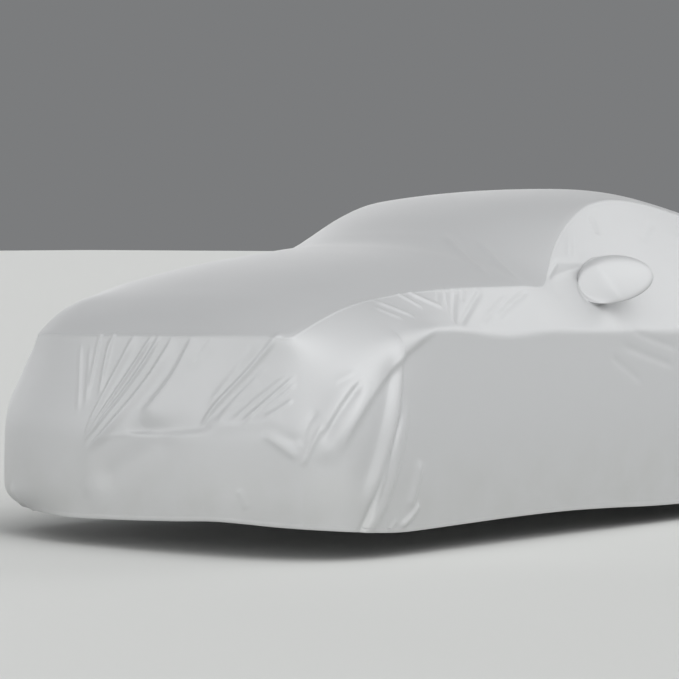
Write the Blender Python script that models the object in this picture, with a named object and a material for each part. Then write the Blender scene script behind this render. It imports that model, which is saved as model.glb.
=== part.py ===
"""A fitted car cover as it hangs over a two-door fastback: five sewn cloth panels and two mirror pockets.

Every panel is a sheet of the same cloth, cut from one draped surface, so neighbours meet along their seams.
Lengths are in metres. The tables give x from the middle, y from the front end of the car and z from the
ground. The finished cover hangs from the point under its roof that carries it, which is the origin.
"""

import bpy
import numpy as np
from mathutils import Vector
from mathutils.geometry import delaunay_2d_cdt

# ---------------------------------------------------------------- driving sizes
CLOTH = 0.002            # thickness of the cloth
SEAM_GAP = 0.0003        # left between two panels along their seam
ROOF_Y = 2.65            # from the front end to the point that carries the cover
ROOF_Z = 1.379           # outside of the cloth there, above the ground
CLOTH_GREY = (0.47, 0.47, 0.47, 1.0)

# The seam between the top panel and the side, from the front corner of the bonnet to the back corner of the
# boot lid. It follows the edge of the bonnet, the front pillar, the roof rail and the edge of the boot lid.
CREST_COLUMNS = ("x", "y", "z")
CREST = (
    (0.652, 0.152, 0.812),
    (0.658, 0.215, 0.838),
    (0.664, 0.290, 0.868),
    (0.680, 0.395, 0.906),
    (0.702, 0.515, 0.935),
    (0.735, 0.640, 0.957),
    (0.775, 0.800, 0.965),
    (0.805, 0.970, 0.967),
    (0.820, 1.150, 0.968),
    (0.818, 1.340, 0.969),
    (0.800, 1.510, 0.972),
    (0.760, 1.585, 1.020),
    (0.700, 1.694, 1.095),
    (0.655, 1.800, 1.165),
    (0.620, 1.930, 1.240),
    (0.590, 2.092, 1.302),
    (0.567, 2.300, 1.330),
    (0.560, 2.520, 1.318),
    (0.560, 2.780, 1.276),
    (0.560, 3.080, 1.218),
    (0.575, 3.400, 1.154),
    (0.605, 3.720, 1.096),
    (0.650, 4.020, 1.048),
    (0.700, 4.300, 1.010),
    (0.715, 4.520, 0.985),
    (0.680, 4.660, 0.965),
)

# The middle line of the top panel, front to back.
PROFILE_COLUMNS = ("y", "z")
PROFILE = (
    (0.055, 0.812),
    (0.120, 0.866),
    (0.250, 0.934),
    (0.400, 0.985),
    (0.600, 1.038),
    (0.800, 1.077),
    (1.000, 1.106),
    (1.200, 1.130),
    (1.350, 1.150),
    (1.500, 1.190),
    (1.750, 1.268),
    (2.000, 1.328),
    (2.250, 1.363),
    (2.500, 1.377),
    (2.650, 1.379),
    (2.850, 1.367),
    (3.050, 1.345),
    (3.250, 1.312),
    (3.450, 1.273),
    (3.690, 1.224),
    (3.900, 1.180),
    (4.100, 1.136),
    (4.300, 1.092),
    (4.500, 1.047),
    (4.660, 1.005),
    (4.750, 0.960),
)

# How far the rows of the top panel bow forward at their middle, and how square the bow is.
BOW_COLUMNS = ("y_of_ends", "bow", "squareness")
BOW = (
    (0.160, 0.105, 3.6),
    (0.500, 0.080, 2.4),
    (1.200, 0.070, 2.2),
    (1.694, 0.190, 2.2),
    (2.300, 0.080, 2.2),
    (3.000, 0.000, 2.2),
    (4.300, -0.030, 2.4),
    (4.660, -0.090, 3.8),
)

# Rings of the skirt below the seam. Each is a rounded outline in plan, and a height at front, side and back.
# The last two columns round the skirt's profile there, at the ends and at the side.
RING_COLUMNS = ("half_width", "front_y", "back_y", "end_length", "squareness", "z_front", "z_side", "z_back",
                "round_end", "round_side")
RINGS = (
    (0.925, 0.030, 4.772, 0.70, 2.9, 0.700, 0.808, 0.840, 0.100, 0.045),
    (0.943, -0.003, 4.800, 0.50, 3.1, 0.470, 0.560, 0.560, 0.050, 0.150),
    (0.942, 0.000, 4.795, 0.48, 3.1, 0.205, 0.250, 0.240, 0.085, 0.100),
    (0.922, 0.038, 4.750, 0.56, 2.6, 0.118, 0.096, 0.110, 0.0, 0.0),
)
BUMPER_RING = 1
SIDE_BULGE = 0.030       # of the length from seam to shoulder
MOST_ROUNDED = 0.45      # of a length between two rings
CROWN_SQUARENESS = 2.5   # of the top panel's rows
SMOOTH_PASSES = 5        # that round the seams
SMOOTH_REACH = 5         # points to each side of a seam that they move
SMOOTH_FADE = 0.75       # of the rounding, from one point to the next
SMOOTH_WEIGHT = 0.6
FOLD_FADE = 0.3          # share of a fold's length over which each of its ends fades

# How the hem rises and falls round the front, by s as for the folds below.
HEM_COLUMNS = ("s", "rise")
HEM = (
    (-1.60, 0.000),
    (-1.25, -0.018),
    (-0.90, -0.034),
    (-0.50, -0.018),
    (-0.10, -0.006),
    (0.20, 0.006),
    (0.42, 0.016),
    (0.52, 0.014),
    (0.66, 0.008),
    (0.90, 0.002),
    (1.25, 0.000),
)

# The pockets over the door mirrors: an oval dome on each side panel.
POCKET_Y = 1.860
POCKET_Z = 1.000
POCKET_LONG = 0.128      # half its base along the car
POCKET_TALL = 0.088      # half its base in height
POCKET_OUT = 0.215       # how far it stands out, and how far its tip leans back and up
POCKET_BACK = 0.035
POCKET_UP = 0.010
POCKET_SQUARENESS = 2.7
POCKET_CLEAR = 1.12      # of its half sizes, kept clear of the panel's own points
POCKET_FIT = 3.0         # of its half sizes, where the panel's shape is read
POCKET_ROUND = 36        # points round it
POCKET_RINGS = 9

# The main folds, each along a slightly bent path over the skirt. s runs round the car from the middle of
# its front, positive to its left side, and z is the height. Depth is positive for a ridge.
FOLD_COLUMNS = ("s0", "z0", "s1", "z1", "bend", "width", "depth")
FOLDS = (
    # across the front, from the bonnet's edge down towards the right
    (-0.020, 0.790, -0.163, 0.615, 0.022, 0.016, 0.004),
    (0.074, 0.790, -0.205, 0.460, -0.004, 0.017, -0.007),
    (0.147, 0.802, -0.235, 0.405, 0.003, 0.013, 0.007),
    (0.185, 0.785, -0.200, 0.395, 0.004, 0.013, -0.006),
    (0.210, 0.790, -0.160, 0.400, 0.004, 0.018, 0.004),
    (0.276, 0.778, -0.009, 0.509, 0.031, 0.015, -0.006),
    (0.300, 0.775, 0.020, 0.495, 0.031, 0.018, 0.004),
    (0.602, 0.784, 0.367, 0.606, -0.009, 0.022, -0.004),
    (0.702, 0.785, 0.350, 0.490, -0.011, 0.015, -0.008),
    (0.722, 0.768, 0.372, 0.475, -0.011, 0.016, 0.006),
    (0.700, 0.672, 0.500, 0.505, 0.001, 0.011, 0.005),
    (0.700, 0.650, 0.510, 0.500, 0.001, 0.010, -0.006),
    (0.706, 0.634, 0.530, 0.500, 0.001, 0.012, 0.006),
    (0.706, 0.590, 0.620, 0.532, 0.004, 0.012, -0.005),
    # the line of the bumper, and the slack under it
    (-0.150, 0.440, 0.650, 0.520, 0.0, 0.030, 0.006),
    (0.230, 0.435, -0.170, 0.250, 0.003, 0.030, 0.004),
    (0.610, 0.478, 0.745, 0.400, 0.001, 0.019, 0.007),
    (0.640, 0.440, 0.765, 0.355, 0.001, 0.019, -0.007),
    (-0.743, 0.210, -0.625, 0.095, 0.0, 0.022, 0.005),
    # the left front corner
    (0.846, 0.506, 0.766, 0.349, -0.001, 0.017, 0.008),
    (1.010, 0.660, 0.845, 0.455, -0.011, 0.020, -0.009),
    (1.000, 0.560, 0.805, 0.370, -0.006, 0.022, 0.010),
    (0.792, 0.340, 0.712, 0.235, 0.0, 0.016, 0.004),
    (1.437, 0.821, 0.985, 0.493, -0.090, 0.040, 0.009),
    (1.190, 0.745, 1.035, 0.350, 0.011, 0.024, 0.011),
    (1.182, 0.570, 0.975, 0.125, -0.002, 0.017, -0.010),
    (1.212, 0.560, 0.975, 0.110, 0.022, 0.017, 0.010),
    (1.330, 0.210, 1.165, 0.120, -0.003, 0.015, 0.006),
    (1.330, 0.330, 1.235, 0.190, 0.005, 0.018, 0.005),
    # gathers under the seam of the left wing
    (1.225, 0.918, 1.295, 0.862, 0.0, 0.013, 0.005),
    (1.298, 0.935, 1.350, 0.862, 0.0, 0.012, -0.004),
    (1.410, 0.955, 1.462, 0.897, 0.0, 0.013, 0.005),
    (1.680, 0.966, 1.550, 0.850, -0.013, 0.014, -0.006),
    (1.805, 0.966, 1.598, 0.848, -0.011, 0.015, -0.006),
    (2.050, 0.955, 1.755, 0.846, -0.001, 0.017, -0.004),
    # along the left side, and the other three corners
    (2.600, 0.708, 2.950, 0.500, 0.002, 0.032, -0.004),
    (3.300, 0.700, 3.650, 0.480, 0.010, 0.035, -0.004),
    (4.720, 0.800, 4.960, 0.330, 0.020, 0.028, 0.009),
    (4.960, 0.760, 5.090, 0.250, 0.010, 0.024, -0.010),
    (5.280, 0.700, 5.160, 0.200, -0.010, 0.024, 0.009),
    (5.750, 0.760, 5.420, 0.480, 0.010, 0.022, -0.006),
    (-5.280, 0.700, -5.150, 0.220, 0.010, 0.024, 0.009),
    (-4.980, 0.780, -5.100, 0.280, -0.010, 0.024, -0.010),
    (-4.700, 0.800, -4.930, 0.350, -0.020, 0.028, 0.008),
    (-1.420, 0.810, -1.040, 0.430, 0.080, 0.040, 0.008),
    (-1.250, 0.620, -1.060, 0.180, 0.010, 0.022, -0.010),
    (-1.300, 0.640, -1.090, 0.160, -0.010, 0.022, 0.010),
)

# ---------------------------------------------------------------- grid
# The distance between the rows of points along the car, up to each y.
STEP_COLUMNS = ("up_to_y", "step")
STEPS = ((0.70, 0.013), (1.20, 0.020), (1.45, 0.028), (2.10, 0.019), (5.00, 0.038))
COLUMNS = 104            # across the top panel
DOWN = 64                # from the seam to the hem
CLOTH_TRIANGLES = 7500   # for one face of the cloth
LINE_POINTS = 4000       # of the seam before its rows are spaced out
SHARPEST_CORNER = 0.3    # limits how far a seam's corner moves
BLEND = 6                # points across each rounding of the skirt's profile

PANELS = ("top_panel", "front_panel", "left_panel", "rear_panel", "right_panel", "mirror_pocket_left",
          "mirror_pocket_right")


def column(table, names, name):
    return np.array([row[names.index(name)] for row in table], float)


def run_along(points):
    return np.concatenate([[0], np.cumsum(np.linalg.norm(np.diff(points, axis=0), axis=1))])


def curve(known, values, at):
    """A smooth curve through the values at the known places."""
    known = np.asarray(known, float)
    values = np.asarray(values, float)
    slopes = np.gradient(values, known)
    at = np.clip(at, known[0], known[-1])
    cell = np.clip(np.searchsorted(known, at, side="right") - 1, 0, len(known) - 2)
    wide = known[cell + 1] - known[cell]
    part = (at - known[cell]) / wide
    low = 2 * part**3 - 3 * part**2 + 1
    rise = (part**3 - 2 * part**2 + part) * wide
    fall = (part**3 - part**2) * wide
    return low * values[cell] + (1 - low) * values[cell + 1] + rise * slopes[cell] + fall * slopes[cell + 1]


def ease(part):
    part = np.clip(part, 0, 1)
    return part * part * (3 - 2 * part)


# ---------------------------------------------------------------- the top panel
def crest_line():
    """The seam down one side, close rows at the front and at the mirror, and wide ones elsewhere."""
    points = np.array(CREST)
    run = run_along(points)
    dense = np.linspace(0, run[-1], LINE_POINTS)
    line = np.stack([curve(run, points[:, axis], dense) for axis in range(3)], axis=1)
    until = column(STEPS, STEP_COLUMNS, "up_to_y")
    step = column(STEPS, STEP_COLUMNS, "step")[np.searchsorted(until, line[:, 1])]
    count = np.concatenate([[0], np.cumsum(np.diff(dense) / step[1:])])
    wanted = np.linspace(0, count[-1], int(np.ceil(count[-1])) + 1)
    return np.stack([np.interp(wanted, count, line[:, axis]) for axis in range(3)], axis=1)


def top_grid(ends):
    """One row of points across the car for each point of the seam."""
    across = np.linspace(-1, 1, COLUMNS + 1)[None, :]
    known = column(BOW, BOW_COLUMNS, "y_of_ends")
    bow = curve(known, column(BOW, BOW_COLUMNS, "bow"), ends[:, 1])
    square = curve(known, column(BOW, BOW_COLUMNS, "squareness"), ends[:, 1])
    x = ends[:, :1] * across
    y = ends[:, 1:2] - bow[:, None] * (1 - np.abs(across) ** square[:, None])
    middle = curve(column(PROFILE, PROFILE_COLUMNS, "y"), column(PROFILE, PROFILE_COLUMNS, "z"), ends[:, 1] - bow)
    z = ends[:, 2:] + (middle - ends[:, 2])[:, None] * (1 - np.abs(across) ** CROWN_SQUARENESS)
    return np.stack([x, y, z], axis=2)


# ---------------------------------------------------------------- the skirt
def loop_of(rows, columns):
    """Grid indices round the top panel: front, left side, back, right side. The corners are shared."""
    front = [(0, c) for c in range(columns)]
    left = [(r, columns) for r in range(rows)]
    back = [(rows, c) for c in range(columns, 0, -1)]
    right = [(r, 0) for r in range(rows, 0, -1)]
    return np.array(front + left + back + right)


def ring_points(ring, loop, ends, rows, columns):
    """The ring's point below each point of the seam, and how far it has turned from end, 0, to side, 1."""
    ring = dict(zip(RING_COLUMNS, ring))
    half, length, square = ring["half_width"], ring["end_length"], ring["squareness"]
    corner = 0.5 ** (1 / square)
    across = 2 * loop[:, 1] / columns - 1
    side = np.abs(across) == 1
    seam_y = ends[loop[:, 0], 1]
    is_back = seam_y > ends[:, 1].mean()
    # How far the seam point lies behind its corner, and the same for the ring.
    behind = np.where(is_back, ends[-1, 1] - seam_y, seam_y - ends[0, 1])
    straight = np.where(is_back, ends[-1, 1] - (ring["back_y"] - length), ring["front_y"] + length - ends[0, 1])
    start = length * (1 - corner)
    along = start + behind * (length - start) / straight
    along = np.where(behind > straight, length + behind - straight, along)
    x_side = half * (1 - np.clip(1 - along / length, 0, 1) ** square) ** (1 / square)
    x_end = half * corner * np.abs(across)
    d_end = length * (1 - (1 - (x_end / half) ** square) ** (1 / square))
    x = np.sign(across) * np.where(side, x_side, x_end)
    away = np.where(side, along, d_end)
    y = np.where(is_back, ring["back_y"] - away, ring["front_y"] + away)
    turn = ease(away / length)
    z_end = np.where(is_back, ring["z_back"], ring["z_front"])
    z = z_end + (ring["z_side"] - z_end) * turn
    rounding = ring["round_end"] + (ring["round_side"] - ring["round_end"]) * turn
    return np.stack([x, y, z], axis=1), rounding


def skirt_grid(seam, rings):
    """For every point of the seam, DOWN + 1 points along a rounded profile through the rings."""
    corners = [seam] + [points for points, _ in rings]
    lengths = [np.linalg.norm(b - a, axis=1) for a, b in zip(corners, corners[1:])]
    path = [seam]
    first = corners[1] - corners[0]
    outward = np.stack([-first[:, 2] * corners[1][:, 0], np.zeros(len(seam)), np.hypot(first[:, 0], first[:, 1])], 1)
    outward /= np.linalg.norm(outward, axis=1, keepdims=True)
    clear = 1 - np.minimum(rings[0][1] / lengths[0], MOST_ROUNDED)
    for part in (0.25, 0.5, 0.75):
        swell = 4 * part * (1 - part) * SIDE_BULGE * lengths[0]
        path.append(seam + first * (part * clear)[:, None] + outward * swell[:, None])
    for k in range(1, len(corners) - 1):
        reach = np.minimum(rings[k - 1][1], MOST_ROUNDED * np.minimum(lengths[k - 1], lengths[k]))[:, None]
        before = corners[k] + (corners[k - 1] - corners[k]) / lengths[k - 1][:, None] * reach
        after = corners[k] + (corners[k + 1] - corners[k]) / lengths[k][:, None] * reach
        for part in np.linspace(0, 1, BLEND):
            path.append((1 - part) ** 2 * before + 2 * part * (1 - part) * corners[k] + part**2 * after)
    path.append(corners[-1])
    path = np.stack(path, axis=1)
    grid = np.empty((len(seam), DOWN + 1, 3))
    for i, line in enumerate(path):
        run = run_along(line)
        even = np.linspace(0, run[-1], DOWN + 1)
        for axis in range(3):
            grid[i, :, axis] = np.interp(even, run, line[:, axis])
    return grid


# ---------------------------------------------------------------- the whole surface
def whole_surface():
    """Points, quads, the panel of each quad, and each point's place along the skirt."""
    ends = crest_line()
    rows = len(ends) - 1
    top = top_grid(ends)
    loop = loop_of(rows, COLUMNS)
    seam = top[loop[:, 0], loop[:, 1]]
    rings = [ring_points(ring, loop, ends, rows, COLUMNS) for ring in RINGS]
    around = rings[BUMPER_RING][0]
    run = run_along(np.vstack([around, around[:1]]))
    place = run[:-1] - run[COLUMNS // 2]
    place = np.where(place > run[-1] / 2, place - run[-1], place)
    rings[-1][0][:, 2] += curve(column(HEM, HEM_COLUMNS, "s"), column(HEM, HEM_COLUMNS, "rise"), place)
    skirt = skirt_grid(seam, rings)
    panel = np.full((len(loop), DOWN), PANELS.index("front_panel"))
    panel[COLUMNS:COLUMNS + rows] = PANELS.index("left_panel")
    panel[COLUMNS + rows:2 * COLUMNS + rows] = PANELS.index("rear_panel")
    panel[2 * COLUMNS + rows:] = PANELS.index("right_panel")

    top_index = np.arange(top.shape[0] * top.shape[1]).reshape(top.shape[:2])
    low_index = top_index.size + np.arange(len(loop) * DOWN).reshape(len(loop), DOWN)
    skirt_index = np.concatenate([top_index[loop[:, 0], loop[:, 1]][:, None], low_index], axis=1)
    points = np.concatenate([top.reshape(-1, 3), skirt[:, 1:].reshape(-1, 3)])
    along = np.full(len(points), np.nan)
    along[skirt_index] = place[:, None]
    a, b = top_index[:-1], top_index[1:]
    top_quads = np.stack([a[:, :-1], a[:, 1:], b[:, 1:], b[:, :-1]], axis=2).reshape(-1, 4)
    c, d = skirt_index, np.roll(skirt_index, -1, axis=0)
    skirt_quads = np.stack([c[:, :-1], c[:, 1:], d[:, 1:], d[:, :-1]], axis=2).reshape(-1, 4)
    quads = np.concatenate([top_quads, skirt_quads])
    panels = np.concatenate([np.zeros(len(top_quads), int), panel.reshape(-1)])
    # Every other seam point goes: each quad's diagonal avoids it, and then it joins the one before it.
    joins = np.arange(len(points))
    corners = (0, COLUMNS, COLUMNS + rows, 2 * COLUMNS + rows, len(loop))
    for corner, following in zip(corners, corners[1:]):
        joins[skirt_index[corner + 1:following:2, 0]] = skirt_index[corner:following - 1:2, 0]
        joins[skirt_index[corner, 1:DOWN:2]] = skirt_index[corner, 0:DOWN - 1:2]
    faces, panels = triangles_of(points, quads, panels, joins)
    for side, panel_name, pocket_name in ((1, "left_panel", "mirror_pocket_left"),
                                          (-1, "right_panel", "mirror_pocket_right")):
        points, faces, panels, along = with_pocket(points, faces, panels, along, side, panel_name, pocket_name)
    return points, faces, panels, along


def triangles_of(points, quads, panels, joins):
    """Each quad cut along its shorter diagonal, unless a point at its end joins another one."""
    first = np.linalg.norm(points[quads[:, 0]] - points[quads[:, 2]], axis=1)
    second = np.linalg.norm(points[quads[:, 1]] - points[quads[:, 3]], axis=1)
    goes = joins[quads] != quads
    turn = np.where(goes.any(axis=1), goes[:, 0] | goes[:, 2], first > second)
    turned = np.where(turn[:, None], np.roll(quads, -1, axis=1), quads)
    faces = joins[np.stack([turned[:, [0, 1, 2]], turned[:, [0, 2, 3]]], axis=1).reshape(-1, 3)]
    whole = (faces[:, 0] != faces[:, 1]) & (faces[:, 1] != faces[:, 2]) & (faces[:, 0] != faces[:, 2])
    return faces[whole], np.repeat(panels, 2)[whole]


def border_edges(faces):
    """The directed edges that only one face has."""
    directed = np.concatenate([faces[:, [0, 1]], faces[:, [1, 2]], faces[:, [2, 0]]])
    _, index, count = np.unique(np.sort(directed, axis=1), axis=0, return_inverse=True, return_counts=True)
    return directed[count[index.reshape(-1)] == 1]


def inside_loop(place, loop_edges, flat):
    """Whether a place lies within closed loops of edges, by the crossings to one side of it."""
    start, end = flat[loop_edges[:, 0]], flat[loop_edges[:, 1]]
    crosses = (start[:, 1] > place[1]) != (end[:, 1] > place[1])
    start, end = start[crosses], end[crosses]
    at = start[:, 0] + (place[1] - start[:, 1]) / (end[:, 1] - start[:, 1]) * (end[:, 0] - start[:, 0])
    return (at > place[0]).sum() % 2 == 1


def with_pocket(points, faces, panels, along, side, panel_name, pocket_name):
    """The surface with an oval hole in one side panel, and a pocket that rises from the hole's edge."""
    centre = np.array([POCKET_Y, POCKET_Z])
    half = np.array([POCKET_LONG, POCKET_TALL])
    apart = np.linalg.norm((points[:, 1:] - centre) / half, axis=1)
    apart[points[:, 0] * side < 0] = np.inf
    close = (apart[faces] < POCKET_CLEAR).any(axis=1) & (panels == PANELS.index(panel_name))
    border = border_edges(faces[close])
    around = np.unique(border)
    patch = np.unique(faces[(apart[faces] < POCKET_FIT).all(axis=1) & (panels == PANELS.index(panel_name))])
    # Near the pocket the panel's x follows from y and z, by a smooth fit to the points round it.
    fit_y, fit_z = ((points[patch, 1:] - centre) / half).T
    shape = np.linalg.lstsq(cubic_terms(fit_y, fit_z), points[patch, 0], rcond=None)[0]
    turn = np.arange(POCKET_ROUND) * 2 * np.pi / POCKET_ROUND
    dome = []
    for ring in range(POCKET_RINGS):
        rise = ring / POCKET_RINGS * np.pi / 2
        wide = np.cos(rise) ** (2 / POCKET_SQUARENESS)
        out = np.sin(rise) ** (2 / POCKET_SQUARENESS)
        dome.append(pocket_points(shape, side, wide * np.cos(turn), wide * np.sin(turn), out))
    dome.append(pocket_points(shape, side, np.zeros(1), np.zeros(1), 1.0))
    dome = np.concatenate(dome)
    start = len(points)
    points = np.concatenate([points, dome])
    along = np.concatenate([along, np.full(len(dome), np.mean(along[around]))])
    ring_index = start + np.arange(POCKET_ROUND * POCKET_RINGS).reshape(POCKET_RINGS, POCKET_ROUND)
    first = ring_index[0]
    flat = points[:, 1:]
    local = np.concatenate([around, first])
    number = {int(point): i for i, point in enumerate(local)}
    ring_edges = np.stack([first, np.roll(first, -1)], axis=1)
    edges = [(number[int(i)], number[int(j)]) for i, j in np.concatenate([border, ring_edges])]
    places = [Vector(flat[i]) for i in local]
    made = delaunay_2d_cdt(places, edges, [], 0, 1e-6)[2]
    annulus = []
    for face in made:
        face = local[list(face)]
        middle = flat[face].mean(axis=0)
        if inside_loop(middle, border, flat) and not inside_loop(middle, ring_edges, flat):
            annulus.append(face)
    annulus = faced(np.array(annulus), points, side)
    wall = np.stack([ring_index[:-1], np.roll(ring_index[:-1], -1, axis=1), np.roll(ring_index[1:], -1, axis=1),
                     ring_index[1:]], axis=2).reshape(-1, 4)
    wall, _ = triangles_of(points, wall, np.zeros(len(wall)), np.arange(len(points)))
    last = ring_index[-1]
    tip = np.stack([last, np.roll(last, -1), np.full(POCKET_ROUND, len(points) - 1)], axis=1)
    pocket = np.concatenate([wall, tip])
    if side < 0:
        pocket = pocket[:, ::-1]
    keep = ~close
    faces = np.concatenate([faces[keep], annulus, pocket])
    panels = np.concatenate([panels[keep], np.full(len(annulus), PANELS.index(panel_name)),
                             np.full(len(pocket), PANELS.index(pocket_name))])
    # The points within the old cloth are used by no face now.
    used = np.unique(faces)
    new = np.full(len(points), -1)
    new[used] = np.arange(len(used))
    return points[used], new[faces], panels, along[used]


def cubic_terms(across, up):
    return np.stack([across**i * up**j for i in range(4) for j in range(4 - i)], axis=1)


def pocket_points(shape, side, part_y, part_z, out):
    """Points of the pocket at parts of its half sizes, out from the panel by a part of its height."""
    on_panel = cubic_terms(part_y, part_z) @ shape
    x = on_panel + (shape[0] - on_panel) * out + side * POCKET_OUT * out
    y = POCKET_Y + POCKET_LONG * part_y + POCKET_BACK * out
    z = POCKET_Z + POCKET_TALL * part_z + POCKET_UP * out
    return np.stack([x, y, z], axis=1)


def faced(faces, points, side):
    """Triangles turned so that they face outwards on their side of the car."""
    normal = np.cross(points[faces[:, 1]] - points[faces[:, 0]], points[faces[:, 2]] - points[faces[:, 0]])
    wrong = normal[:, 0] * side < 0
    faces[wrong] = faces[wrong][:, ::-1]
    return faces


def edges_of(faces):
    pairs = np.stack([faces, np.roll(faces, -1, axis=1)], axis=2).reshape(-1, 2)
    return np.unique(np.sort(pairs, axis=1), axis=0)


def seam_points(faces, panels, count):
    """True at each point that belongs to two panels or more."""
    lowest = np.full(count, len(PANELS))
    highest = np.full(count, -1)
    for corner in range(3):
        np.minimum.at(lowest, faces[:, corner], panels)
        np.maximum.at(highest, faces[:, corner], panels)
    return highest > lowest


def soften(points, edges, weight, passes):
    """Moves each point towards the middle of its neighbours, by its weight."""
    degree = np.bincount(edges.ravel(), minlength=len(points))[:, None]
    for _ in range(passes):
        total = np.zeros_like(points)
        np.add.at(total, edges[:, 0], points[edges[:, 1]])
        np.add.at(total, edges[:, 1], points[edges[:, 0]])
        points = points + (total / degree - points) * weight[:, None]
    return points


def point_normals(points, faces):
    normals = np.zeros_like(points)
    flat = np.cross(points[faces[:, 1]] - points[faces[:, 0]], points[faces[:, 2]] - points[faces[:, 0]])
    for corner in range(3):
        np.add.at(normals, faces[:, corner], flat)
    return normals / np.linalg.norm(normals, axis=1, keepdims=True)


def fold_depth(along, height):
    """How far the folds move the skirt in or out, at each place and height."""
    total = np.zeros(len(along))
    for row in FOLDS:
        fold = dict(zip(FOLD_COLUMNS, row))
        start = np.array([fold["s0"], fold["z0"]])
        path = np.array([fold["s1"], fold["z1"]]) - start
        length = np.linalg.norm(path)
        path /= length
        from_start = np.stack([along, height], axis=1) - start
        part = from_start @ path / length
        off = from_start @ np.array([-path[1], path[0]]) - fold["bend"] * 4 * part * (1 - part)
        fade = ease(part / FOLD_FADE) * ease((1 - part) / FOLD_FADE)
        total += fold["depth"] * np.exp(-((off / fold["width"]) ** 2)) * fade
    return total


def draped_surface():
    points, faces, panels, along = whole_surface()
    edges = edges_of(faces)
    seams = seam_points(faces, panels, len(points))
    near = seams.astype(float)
    for _ in range(SMOOTH_REACH):
        wider = near.copy()
        np.maximum.at(wider, edges[:, 0], near[edges[:, 1]] * SMOOTH_FADE)
        np.maximum.at(wider, edges[:, 1], near[edges[:, 0]] * SMOOTH_FADE)
        near = wider
    near[np.unique(border_edges(faces))] = 0
    points = soften(points, edges, near * SMOOTH_WEIGHT, SMOOTH_PASSES)
    skirt = ~np.isnan(along)
    normals = point_normals(points, faces)
    out = np.zeros(len(points))
    out[skirt] = fold_depth(along[skirt], points[skirt, 2])
    return points + normals * out[:, None], faces, panels, seams


# ---------------------------------------------------------------- fewer triangles
def collapsed(points, faces, panels, keep):
    """The same surface with about CLOTH_TRIANGLES triangles, its kept points unmoved."""
    mesh = bpy.data.meshes.new("dense")
    mesh.from_pydata(points.tolist(), [], faces.tolist())
    for _ in PANELS:
        mesh.materials.append(None)
    mesh.polygons.foreach_set("material_index", panels.astype(np.int32))
    dense = bpy.data.objects.new("dense", mesh)
    bpy.context.scene.collection.objects.link(dense)
    free = dense.vertex_groups.new(name="free")
    free.add(np.nonzero(~keep)[0].tolist(), 1.0, "REPLACE")
    fewer = dense.modifiers.new("fewer", "DECIMATE")
    fewer.ratio = CLOTH_TRIANGLES / len(faces)
    fewer.vertex_group = "free"
    fewer.vertex_group_factor = 1.0
    graph = bpy.context.evaluated_depsgraph_get()
    result = dense.evaluated_get(graph).to_mesh()
    few = np.array([vertex.co[:] for vertex in result.vertices])
    faces = np.array([polygon.vertices[:] for polygon in result.polygons])
    labels = np.array([polygon.material_index for polygon in result.polygons])
    dense.evaluated_get(graph).to_mesh_clear()
    bpy.data.objects.remove(dense)
    bpy.data.meshes.remove(mesh)
    return few, faces, labels


# ---------------------------------------------------------------- panels of cloth
def cloth_panel(name, points, normals, faces, labels, collection):
    """One panel: the faces with its label, kept SEAM_GAP from its neighbours and given the cloth's thickness."""
    own = faces[labels == PANELS.index(name)]
    others = faces[labels != PANELS.index(name)]
    border = border_edges(own)
    other_edges = {tuple(edge) for edge in border_edges(others).tolist()}
    # Each point on a seam moves into its own panel, square to the seam's edges there.
    inward = np.zeros_like(points)
    count = np.zeros(len(points))
    for a, b in border.tolist():
        if (b, a) in other_edges:
            square = np.cross(normals[a] + normals[b], points[b] - points[a])
            inward[[a, b]] += square / np.linalg.norm(square)
            count[[a, b]] += 1
    size = np.linalg.norm(inward, axis=1)
    corner = np.where(count == 2, size / 2, 1.0)
    reach = SEAM_GAP / 2 / (np.maximum(size, 1e-9) * np.maximum(corner, SHARPEST_CORNER))
    used = np.unique(own)
    new = np.full(len(points), -1)
    new[used] = np.arange(len(used))
    outer = (points + inward * reach[:, None])[used]
    inner = outer - CLOTH * normals[used]
    shift = len(outer)
    own, border = new[own], new[border]
    first, second = border[:, 0], border[:, 1]
    rim_a = np.stack([second, first, first + shift], axis=1)
    rim_b = np.stack([second, first + shift, second + shift], axis=1)
    triangles = np.concatenate([own, own[:, ::-1] + shift, rim_a, rim_b])
    solid = np.concatenate([outer, inner]) - np.array([0, ROOF_Y, ROOF_Z - CLOTH])
    mesh = bpy.data.meshes.new(name)
    mesh.from_pydata(solid.tolist(), [], triangles.tolist())
    mesh.materials.append(cloth_material(name))
    collection.objects.link(bpy.data.objects.new(name, mesh))


def cloth_material(name):
    material = bpy.data.materials.new(name)
    material.use_nodes = True
    shader = material.node_tree.nodes["Principled BSDF"]
    shader.inputs["Base Color"].default_value = CLOTH_GREY
    shader.inputs["Roughness"].default_value = 0.6
    material.diffuse_color = CLOTH_GREY
    return material


def build():
    for obj in list(bpy.data.objects):
        bpy.data.objects.remove(obj)
    collection = bpy.data.collections.new("car_cover")
    bpy.context.scene.collection.children.link(collection)
    points, faces, panels, seams = draped_surface()
    points, faces, labels = collapsed(points, faces, panels, seams)
    normals = point_normals(points, faces)
    for name in PANELS:
        cloth_panel(name, points, normals, faces, labels, collection)


build()
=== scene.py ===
"""A fitted car cover of silver grey taffeta in its draped shape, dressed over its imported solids.

Tables give x from the middle, y from the front end and z from the ground, all in metres. The finished
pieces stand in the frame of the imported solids, whose origin is the point under the roof that carries
the cover.
"""

import math

import bmesh
import bpy
import numpy as np
from mathutils import Matrix, Vector
from mathutils.bvhtree import BVHTree


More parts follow.
